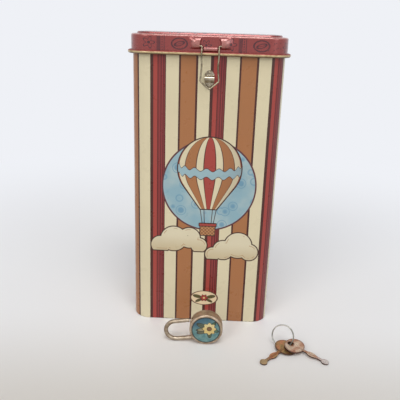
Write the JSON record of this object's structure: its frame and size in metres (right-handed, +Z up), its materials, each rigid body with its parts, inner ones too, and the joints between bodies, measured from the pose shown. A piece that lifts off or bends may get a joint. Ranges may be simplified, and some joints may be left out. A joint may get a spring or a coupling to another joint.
{
  "type": "money box",
  "caption": "A tall striped tinplate money box with a hinged, slotted lid and a wire clasp, with its round padlock, open, and its flat keys on a split ring",
  "frame": {"origin": "centre of the tin's foot, on the surface it stands on", "axes": "+Z up, +X to the right seen from the front, the front faces -Y"},
  "size_m": [0.141, 0.1227, 0.206],
  "materials": {
    "printed_body": "lithographed stripes and a round picture, worn gloss",
    "printed_lid": "lithographed dark red with a tone-on-tone print and a gold edge, worn gloss",
    "bare_tin": "dull bare tinplate",
    "steel_fittings": "tarnished tinned steel",
    "lock_steel": "tarnished steel with rust at the edges",
    "shackle_steel": "tarnished steel wire",
    "lock_works": "plain oiled steel",
    "printed_disc": "printed picture, gloss",
    "ring_wire": "tinned wire",
    "key_copper": "coppered steel, rubbed and tarnished"
  },
  "bodies": {
    "tin": {"body_shell": "printed_body", "base_plate": "bare_tin", "hinge_leaf": "bare_tin", "hinge_leaf_rivets": "steel_fittings", "hinge_pin": "steel_fittings", "staple": "steel_fittings", "staple_rivets": "steel_fittings"},
    "lid": {"lid_shell": "printed_lid"},
    "clasp": {"clasp_bail": "steel_fittings"},
    "padlock": {"padlock_case": "lock_steel", "padlock_back_cover": "lock_steel", "picture_disc": "printed_disc", "lock_frame": "lock_works", "ward_plate": "lock_works", "latch_spring": "lock_works", "shackle_spring": "lock_works"},
    "shackle_stop": {"heel_clip": "lock_works"},
    "shackle_bow": {"shackle": "shackle_steel"},
    "ring": {"key_ring": "ring_wire"},
    "key_on_the_left": {"left_key": "key_copper"},
    "key_on_the_right": {"right_key": "key_copper"}
  },
  "joints": [
    {"name": "lid_hinge", "type": "hinge", "parent": "tin", "child": "lid", "pos_m": [0, 0.0355, 0.1929], "axis": [-1, 0, 0], "range_deg": [0, 110]},
    {"name": "clasp_swing", "type": "hinge", "parent": "lid", "child": "clasp", "pos_m": [0.001, -0.0351, 0.1982], "axis": [-1, 0, 0], "range_deg": [-6, 130]},
    {"name": "padlock_lift", "type": "slide", "parent": "tin", "child": "padlock", "axis": [0, 0, 1], "range_m": [0, 0.15]},
    {"name": "shackle_slide", "type": "slide", "parent": "padlock", "child": "shackle_stop", "axis": [-0.989, 0, -0.1482], "range_m": [-0.0048, 0], "stiffness_N_per_m": 150, "springref_m": 0.003, "deforming": ["shackle_spring", "latch_spring"]},
    {"name": "shackle_turn", "type": "hinge", "parent": "shackle_stop", "child": "shackle_bow", "pos_m": [0.00602, -0.061, 0.00468], "axis": [-0.989, 0, -0.1482], "range_deg": [0, 90]},
    {"name": "ring_lift", "type": "slide", "parent": "tin", "child": "ring", "axis": [0, 0, 1], "range_m": [0, 0.15]},
    {"name": "left_key_swing", "type": "hinge", "parent": "ring", "child": "key_on_the_left", "pos_m": [0.06254, -0.06505, 0.00234], "axis": [0.0192, -0.1026, 0.9945], "range_deg": [-8, 10]},
    {"name": "right_key_swing", "type": "hinge", "parent": "ring", "child": "key_on_the_right", "pos_m": [0.06391, -0.06505, 0.00374], "axis": [0.0883, -0.0724, 0.9935], "range_deg": [-15, 30]}
  ]
}
